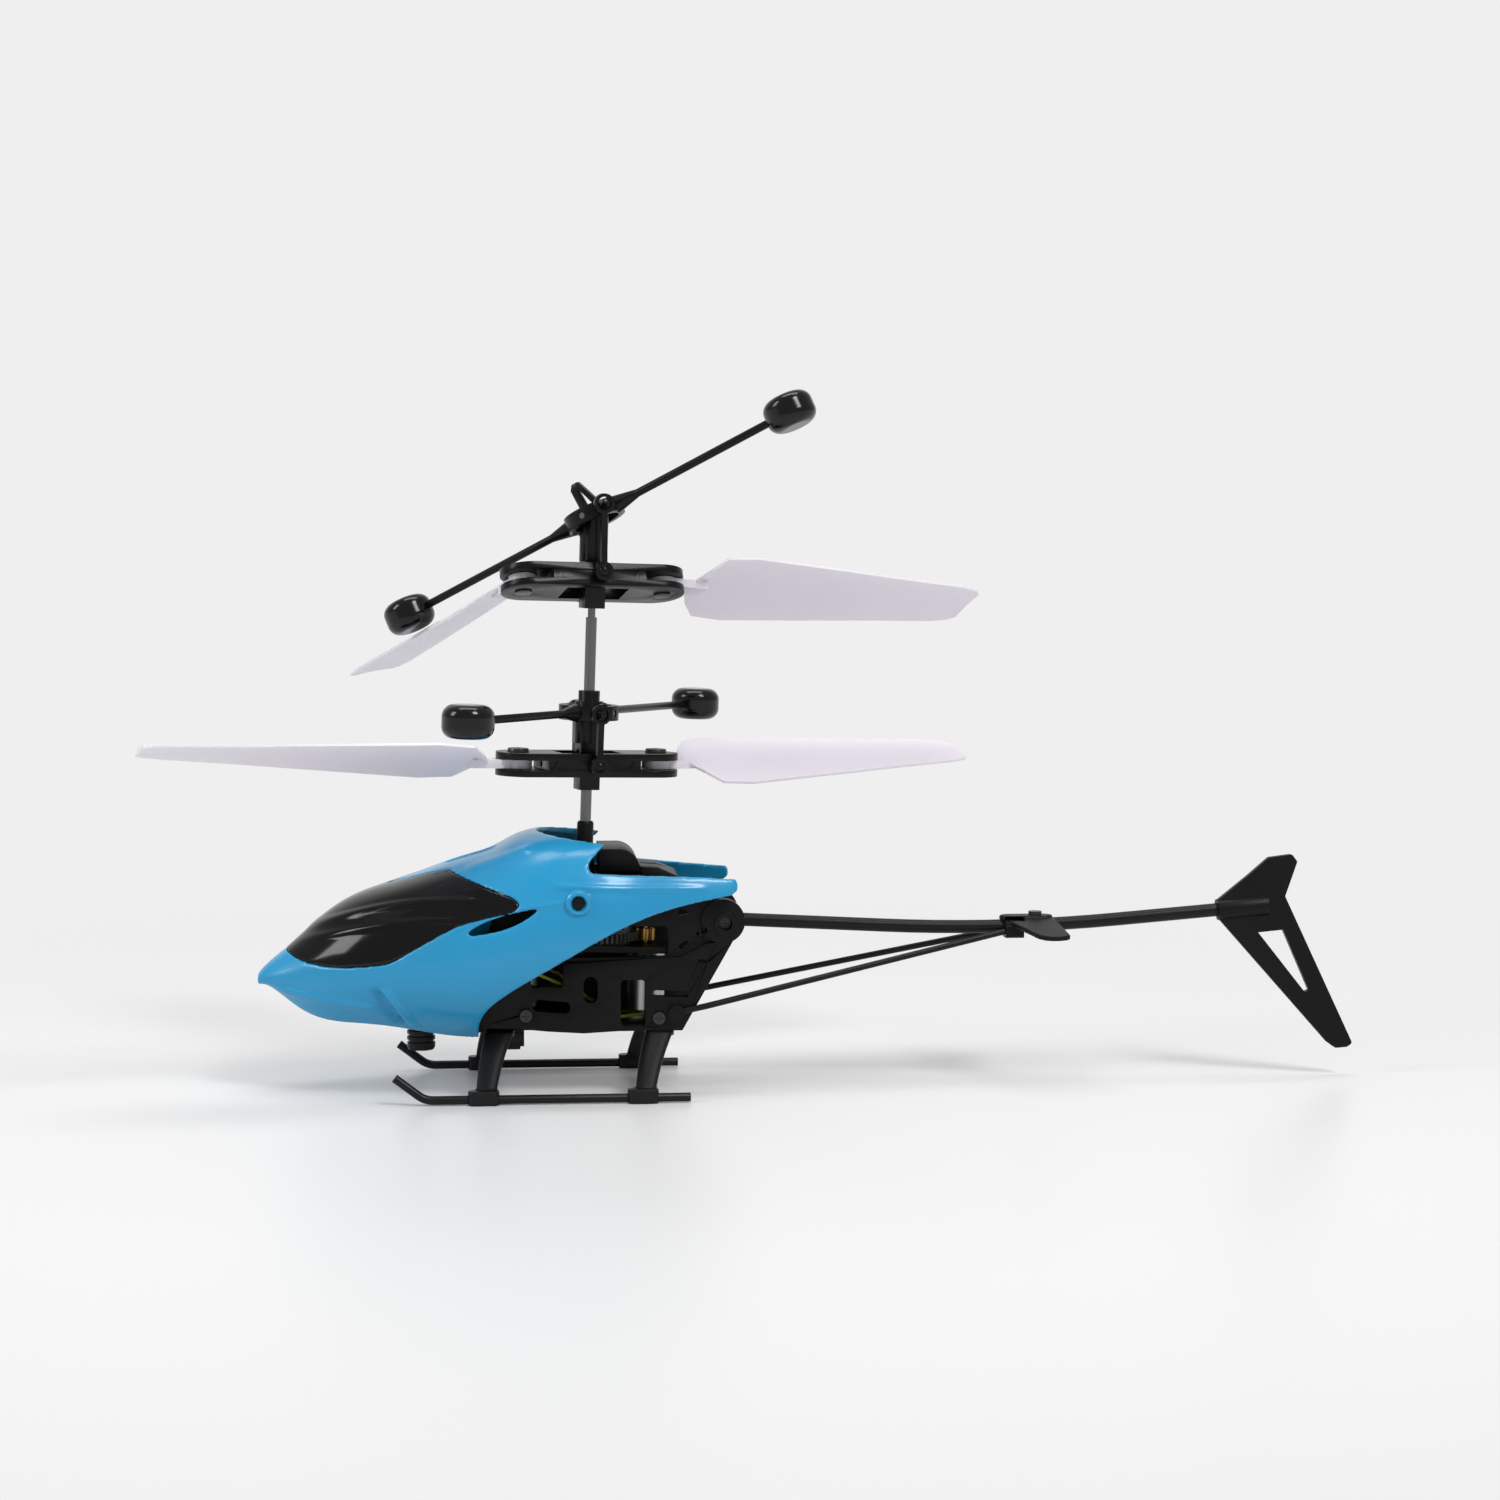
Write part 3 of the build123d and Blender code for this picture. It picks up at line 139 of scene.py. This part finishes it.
FINISHES = {
    "body_blue": Finish("canopy blue", (0.016, 0.275, 0.520), 0.25, mottle=0.03, grain=700, bump=0.03,
                        wave=45, swell=0.05, Specular_IOR_Level=0.35, Coat_Weight=0.2, Coat_Roughness=0.12),
    "window_black": Finish("window black", (0.0015, 0.0015, 0.0018), 0.12, mottle=0.2, bump=0.01,
                           swell=0.04, Specular_IOR_Level=0.25, Coat_Weight=0.08, Coat_Roughness=0.04),
    "weight_black": Finish("weight black", (0.002, 0.002, 0.002), 0.16, mottle=0.2, bump=0.03,
                           Specular_IOR_Level=0.3, Coat_Weight=0.1, Coat_Roughness=0.06),
    "frame_black": Finish("frame black", (0.0045, 0.0045, 0.0047), 0.42, mottle=0.12, grain=1800, bump=0.25,
                          swell=0.06, Specular_IOR_Level=0.16),
    "leg_black": Finish("leg black", (0.0075, 0.0075, 0.008), 0.36, mottle=0.1, grain=1800, bump=0.2,
                        swell=0.06, Specular_IOR_Level=0.22),
    "boom_black": Finish("boom black", (0.006, 0.006, 0.0063), 0.34, mottle=0.1, grain=1500, bump=0.12,
                         Specular_IOR_Level=0.2),
    "rotor_black": Finish("rotor black", (0.003, 0.003, 0.0032), 0.30, mottle=0.15, grain=1500, bump=0.15,
                          swell=0.06, Specular_IOR_Level=0.2),
    "blade_plastic": Finish("blade plastic", (0.70, 0.66, 0.73), 0.34, mottle=0.02, grain=900, bump=0.02,
                            wave=30, swell=0.04, Subsurface_Weight=0.3, Subsurface_Scale=0.002,
                            Subsurface_Radius=(1, 1, 1)),
    "steel": Finish("drawn steel", (0.16, 0.16, 0.165), 0.32, metal=1.0, mottle=0.1, grain=2500, bump=0.1),
    "screw_steel": Finish("screw steel", (0.05, 0.05, 0.05), 0.35, metal=0.8, mottle=0.2, grain=2500,
                          bump=0.1),
    "motor_can": Finish("motor can", (0.42, 0.42, 0.43), 0.30, metal=1.0, mottle=0.08, bump=0.08),
    "brass": Finish("brass", (0.48, 0.32, 0.10), 0.30, metal=1.0, mottle=0.1, bump=0.08),
    "gear_nylon": Finish("gear nylon", (0.02, 0.02, 0.021), 0.45, mottle=0.1, bump=0.1),
    "board_green": Finish("board green", (0.02, 0.13, 0.05), 0.40, mottle=0.25, wave=400, bump=0.05),
    "chip_black": Finish("chip black", (0.015, 0.015, 0.015), 0.5, mottle=0.2, bump=0.1),
    "battery_wrap": Finish("battery wrap", (0.30, 0.34, 0.40), 0.30, metal=0.4, mottle=0.06, swell=0.3),
    "lead_yellow": Finish("lead insulation", (0.42, 0.48, 0.03), 0.45, mottle=0.08, bump=0.05),
    "lamp_clear": Finish("lamp lens", (0.80, 0.88, 0.95), 0.08, mottle=0.02, bump=0.01,
                         Transmission_Weight=0.6),
}

SLOTS = {part["node"]: part["material_slot"] for part in frame["record"]["subparts"]}
BODIES = {node: body for body, nodes in frame["record"]["behaviour"]["bodies"].items() for node in nodes}


def finish_cad(node):
    """Give a CAD node its material through its object slots, so that its mesh stays as it is."""
    for material_slot in frame["nodes"][node].material_slots:
        material_slot.link = "OBJECT"
        material_slot.material = FINISHES[SLOTS[node]].material


for node in SLOTS:
    finish_cad(node)


# ---------------------------------------------------------------- building pieces
WELD = 0.002 * MM
SHARP_ANGLE = 38
BEVEL_STEPS = 2
BEVEL_ANGLE = 32
TURNED_SHARP_ANGLE = 35


def piece(name, mesh, body, slot_name, *nodes):
    """A finished object on its body, standing for any CAD nodes named."""
    obj = bpy.data.objects.new(name, mesh)
    bpy.context.scene.collection.objects.link(obj)
    mesh.materials.clear()
    mesh.materials.append(FINISHES[slot_name].material)
    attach(obj, body)
    if nodes:
        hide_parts(*nodes)
    return obj


def apply_modifiers(obj):
    """The mesh that an object's modifiers give, as a mesh of its own."""
    graph = bpy.context.evaluated_depsgraph_get()
    mesh = bpy.data.meshes.new_from_object(obj.evaluated_get(graph))
    bpy.data.objects.remove(obj)
    return mesh


def cad_copy(node):
    """A working copy of a CAD node, welded so that it can be remeshed or bevelled."""
    mesh = frame["nodes"][node].data.copy()
    welded = bmesh.new()
    welded.from_mesh(mesh)
    bmesh.ops.remove_doubles(welded, verts=welded.verts, dist=WELD)
    bmesh.ops.recalc_face_normals(welded, faces=welded.faces)
    welded.to_mesh(mesh)
    welded.free()
    if "custom_normal" in mesh.attributes:
        mesh.attributes.remove(mesh.attributes["custom_normal"])
    obj = bpy.data.objects.new("working_copy", mesh)
    bpy.context.scene.collection.objects.link(obj)
    return obj


def moulded(node, voxel, smoothing, shape=None):
    """A CAD node rebuilt as one even skin with softened edges; shape(position, normal) gives an offset along
    the normal, in metres."""
    obj = cad_copy(node)
    remesh = obj.modifiers.new("even skin", "REMESH")
    remesh.mode = "VOXEL"
    remesh.voxel_size = voxel
    soften = obj.modifiers.new("soft edges", "SMOOTH")
    soften.factor = 0.5
    soften.iterations = smoothing
    mesh = apply_modifiers(obj)
    if shape:
        normals = [v.normal.copy() for v in mesh.vertices]
        for vertex, normal in zip(mesh.vertices, normals):
            vertex.co += normal * shape(vertex.co, normal)
    mesh.shade_smooth()
    return mesh


def bevelled(node, width):
    """A CAD node with its sharp edges rounded."""
    obj = cad_copy(node)
    bevel = obj.modifiers.new("rounded edges", "BEVEL")
    bevel.width = width
    bevel.segments = BEVEL_STEPS
    bevel.limit_method = "ANGLE"
    bevel.angle_limit = math.radians(BEVEL_ANGLE)
    mesh = apply_modifiers(obj)
    mesh.shade_smooth()
    mesh.set_sharp_from_angle(angle=math.radians(SHARP_ANGLE))
    return mesh


def ridge(distance, width):
    """1 on a line, falling smoothly to 0 at width from it."""
    t = min(1.0, abs(distance) / width)
    return 0.5 + 0.5 * math.cos(math.pi * t)


def line_gap(point, start, end):
    """Signed gap of a side-view point from a line, and how far along it the point is, from 0 to 1."""
    dx, dz = end[0] - start[0], end[1] - start[1]
    length = math.hypot(dx, dz)
    along = ((point[0] - start[0]) * dx + (point[1] - start[1]) * dz) / length ** 2
    return ((point[1] - start[1]) * dx - (point[0] - start[0]) * dz) / length, along


def fade(along, margin=0.15):
    """1 in the middle of a line, falling smoothly to 0 at its ends and beyond."""
    reach = min(along, 1 - along) / margin
    return 0.0 if reach <= 0 else min(1.0, reach) ** 2 * (3 - 2 * min(1.0, reach))


# ---------------------------------------------------------------- canopy
# creases of the canopy's sides in millimetres: start and end in side view, height, half width
SIDE_CREASES = [
    ((-51.5, 17.4), (-33.0, 14.6), 0.40, 1.1),
    ((-34.5, 18.4), (-28.2, 9.6), -0.75, 1.3),
    ((-33.0, 18.6), (-26.6, 10.2), 0.45, 1.2),
    ((-31.0, 22.6), (-12.0, 33.0), 0.22, 0.9),
    ((-20.5, 36.2), (-8.5, 40.6), 0.22, 0.9),
    ((-14.0, 31.0), (-2.8, 32.4), 0.18, 0.7),
    ((-8.0, 35.0), (20.0, 33.6), 0.20, 0.8),
]


# the shallow slot in the crown between window and collar: low and high x, depth, half width, edge, run-out
CROWN_SLOT = (-24.0, -13.6, 0.35, 1.5, 1.0, 0.2)
# the window's two ridges: how far up it they run, height and half width; and its bottom edge and crown line
WINDOW_RIDGES = (0.55, 0.74)
RIDGE_HEIGHT = 0.26
RIDGE_WIDTH = 0.9
RIDGE_START = -49.0
RIDGE_LENGTH = 36.0
WINDOW_FOOT = 20.5
CROWN_TOP = 36.5
CROWN_X = -20
CROWN_BEND = 0.0115


def canopy_relief(at, normal):
    """How far the canopy's skin stands out at a point, along its normal."""
    x, y, z = at.x / MM, at.y / MM, at.z / MM
    outward = normal.y * (1 if y > 0 else -1) + 0.6 * normal.z
    offset = 0.0
    if outward > 0.1:
        for start, end, height, width in SIDE_CREASES:
            gap, along = line_gap((x, z), start, end)
            offset += height * ridge(gap, width) * fade(along)
    low_x, high_x, depth, half_width, edge, run_out = CROWN_SLOT
    if normal.z > 0.5 and low_x < x < high_x:
        along = (x - low_x) / (high_x - low_x)
        offset -= depth * ridge(max(0.0, abs(y) - half_width), edge) * fade(along, run_out)
    return offset * MM


def window_relief(at, normal):
    """How far the window's skin stands out at a point, along its normal."""
    x, z = at.x / MM, at.z / MM
    if normal.z < 0.15 and abs(normal.y) < 0.3:
        return 0.0
    offset = 0.0
    crown = CROWN_TOP - CROWN_BEND * (x - CROWN_X) ** 2
    for rise in WINDOW_RIDGES:
        level = WINDOW_FOOT + rise * (crown - WINDOW_FOOT)
        offset += RIDGE_HEIGHT * ridge(z - level, RIDGE_WIDTH) * fade((x - RIDGE_START) / RIDGE_LENGTH, 0.3)
    return offset * MM


piece("canopy", moulded("canopy_shell", 0.28 * MM, 5, canopy_relief), "airframe", "body_blue",
      "canopy_shell")
piece("canopy_glazing", moulded("canopy_window", 0.25 * MM, 4, window_relief), "airframe", "window_black",
      "canopy_window")


# ---------------------------------------------------------------- turned pieces
def turned(profile, steps=48, closed=True):
    """A solid turned about Z from (radius, height) points in millimetres, closed with flat ends."""
    solid = bmesh.new()
    rings = []
    for radius, height in profile:
        ring = []
        for i in range(steps):
            angle = 2 * math.pi * i / steps
            across, along = radius * MM * math.cos(angle), radius * MM * math.sin(angle)
            ring.append(solid.verts.new((across, along, height * MM)))
        rings.append(ring)
    for low, high in zip(rings, rings[1:]):
        for i in range(steps):
            solid.faces.new((low[i], low[(i + 1) % steps], high[(i + 1) % steps], high[i]))
    if closed:
        solid.faces.new(list(reversed(rings[0])))
        solid.faces.new(rings[-1])
    bmesh.ops.remove_doubles(solid, verts=solid.verts, dist=0.001 * MM)
    bmesh.ops.recalc_face_normals(solid, faces=solid.faces)
    mesh = bpy.data.meshes.new("turned")
    solid.to_mesh(mesh)
    solid.free()
    mesh.shade_smooth()
    mesh.set_sharp_from_angle(angle=math.radians(TURNED_SHARP_ANGLE))
    return mesh


RIBS = 5
GROOVE = 0.28


def receiver_can():
    """The ribbed drum under the nose."""
    low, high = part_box("receiver_housing")
    radius = (high.x - low.x) / 2 / MM
    bottom, top = low.z / MM, high.z / MM
    profile = [(radius - 0.7, bottom), (radius - 0.25, bottom + 0.1), (radius - 0.05, bottom + 0.45)]
    for i in range(RIBS):
        start = bottom + 0.8 + i * (top - bottom - 1.0) / RIBS
        profile += [(radius, start), (radius, start + 0.5)]
        profile += [(radius - GROOVE, start + 0.62), (radius - GROOVE, start + 0.9)]
    profile += [(radius - 0.05, top - 0.05), (radius - 0.2, top)]
    mesh = turned(profile)
    mesh.transform(Matrix.Translation(((low.x + high.x) / 2, (low.y + high.y) / 2, 0)))
    return mesh


piece("receiver_ribbed", receiver_can(), "airframe", "leg_black", "receiver_housing")


def peg_ring(side):
    """The raised blue ring round a canopy peg."""
    low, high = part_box("canopy_pegs")
    at_x, at_z = (low.x + high.x) / 2, (low.z + high.z) / 2
    outer = high.y / MM if side > 0 else -low.y / MM
    profile = [(1.15, outer - 1.6), (1.15, outer - 0.35), (1.35, outer - 0.1), (1.75, outer - 0.1),
               (2.05, outer - 0.4), (2.2, outer - 1.6)]
    ring = turned(profile + [profile[0]], closed=False)
    ring.transform(Matrix.Translation((at_x, 0, at_z)) @ Matrix.Rotation(math.radians(-90 * side), 4, "X"))
    return ring


for side, label in ((-1, "near"), (1, "far")):
    piece(f"peg_ring_{label}", peg_ring(side), "airframe", "body_blue")


# ---------------------------------------------------------------- moulded parts with rounded edges
# voxel in millimetres and number of smoothing passes
SOFT = {
    "front_legs": (0.16, 6), "rear_legs": (0.16, 6), "stabiliser": (0.14, 3),
}
for node, (voxel, smoothing) in SOFT.items():
    piece(f"{node}_moulded", moulded(node, voxel * MM, smoothing), BODIES[node], SLOTS[node], node)

# bevel width in millimetres
ROUNDED = {
    "frame_near_side": 0.16, "frame_far_side": 0.16, "rear_cover": 0.45, "tail_fin": 0.3, "strut_knobs": 0.35,
    "mast_collar": 0.15, "tail_deck": 0.15, "charge_socket": 0.2, "strut_clip": 0.15, "boom_block": 0.2,
    "upper_blade_holder": 0.14, "lower_blade_holder": 0.14, "upper_head": 0.2, "lower_head": 0.2,
    "upper_flybar": 0.12, "lower_flybar": 0.12, "upper_near_link": 0.15, "upper_far_link": 0.15,
    "lower_near_link": 0.15, "lower_far_link": 0.15, "canopy_pegs": 0.3, "skids": 0.35, "switch_knob": 0.1,
    "frame_floor": 0.12, "upper_blade_bolts": 0.12, "lower_blade_bolts": 0.12,
}
for node, width in ROUNDED.items():
    piece(f"{node}_moulded", bevelled(node, width * MM), BODIES[node], SLOTS[node], node)


# ---------------------------------------------------------------- studio
def floor():
    """Pale paper that turns into the backdrop's own brightness away from the object."""
    sheet = bmesh.new()
    bmesh.ops.create_grid(sheet, x_segments=24, y_segments=24, size=FLOOR_HALF)
    mesh = bpy.data.meshes.new("floor")
    sheet.to_mesh(mesh)
    sheet.free()
    obj = bpy.data.objects.new("floor", mesh)
    obj.location = (0, 0, -FLOOR_DROP)
    bpy.context.scene.collection.objects.link(obj)
    paper = Finish("floor paper", (PAPER, PAPER, PAPER), 0.35, mottle=0.004, grain=400, bump=0.02, wave=4,
                   Specular_IOR_Level=0.3)
    nodes, links = paper.nodes, paper.links
    distance = nodes.new("ShaderNodeVectorMath")
    distance.operation = "LENGTH"
    links.new(paper.place, distance.inputs[0])
    blend = nodes.new("ShaderNodeMapRange")
    blend.interpolation_type = "SMOOTHSTEP"
    blend.inputs["From Min"].default_value = PAPER_CLEAR
    blend.inputs["From Max"].default_value = PAPER_FADE
    links.new(distance.outputs["Value"], blend.inputs["Value"])
    glow = nodes.new("ShaderNodeEmission")
    glow.inputs["Color"].default_value = (BACKDROP, BACKDROP, BACKDROP, 1)
    both = nodes.new("ShaderNodeMixShader")
    links.new(blend.outputs["Result"], both.inputs["Fac"])
    links.new(paper.shader.outputs["BSDF"], both.inputs[1])
    links.new(glow.outputs["Emission"], both.inputs[2])
    links.new(both.outputs["Shader"], nodes["Material Output"].inputs["Surface"])
    mesh.materials.append(paper.material)


def area_light(name, at, aim, size, power):
    data = bpy.data.lights.new(name, "AREA")
    data.shape = "RECTANGLE"
    data.size, data.size_y = size
    data.energy = power
    obj = bpy.data.objects.new(name, data)
    obj.location = at
    obj.rotation_euler = (Vector(aim) - Vector(at)).to_track_quat("-Z", "Y").to_euler()
    bpy.context.scene.collection.objects.link(obj)


def room():
    """A lit backdrop behind the object and a dimmer room round the rest of it."""
    world = bpy.data.worlds.new("studio")
    world.use_nodes = True
    nodes, links = world.node_tree.nodes, world.node_tree.links
    back = nodes["Background"]
    split = nodes.new("ShaderNodeSeparateXYZ")
    links.new(nodes.new("ShaderNodeTexCoord").outputs["Generated"], split.inputs["Vector"])
    wall = nodes.new("ShaderNodeMapRange")
    wall.interpolation_type = "SMOOTHSTEP"
    wall.inputs["From Min"].default_value = 0.45
    wall.inputs["From Max"].default_value = 0.85
    wall.inputs["To Min"].default_value = ROOM
    wall.inputs["To Max"].default_value = BACKDROP
    links.new(split.outputs["Y"], wall.inputs["Value"])
    links.new(wall.outputs["Result"], back.inputs["Color"])
    bpy.context.scene.world = world
    bpy.context.scene.view_settings.view_transform = "Standard"


def studio():
    floor()
    room()
    for name, (at, size, power) in LIGHTS.items():
        area_light(name, at, AIM, size, power)


def camera():
    data = bpy.data.cameras.new("camera")
    data.lens = CAMERA_LENS
    data.sensor_width = CAMERA_SENSOR
    data.clip_start = 0.01
    obj = bpy.data.objects.new("camera", data)
    obj.location = CAMERA_AT
    obj.rotation_euler = (math.radians(90 - CAMERA_DIP), 0, math.radians(CAMERA_TURN))
    bpy.context.scene.collection.objects.link(obj)
    bpy.context.scene.camera = obj


studio()
camera()
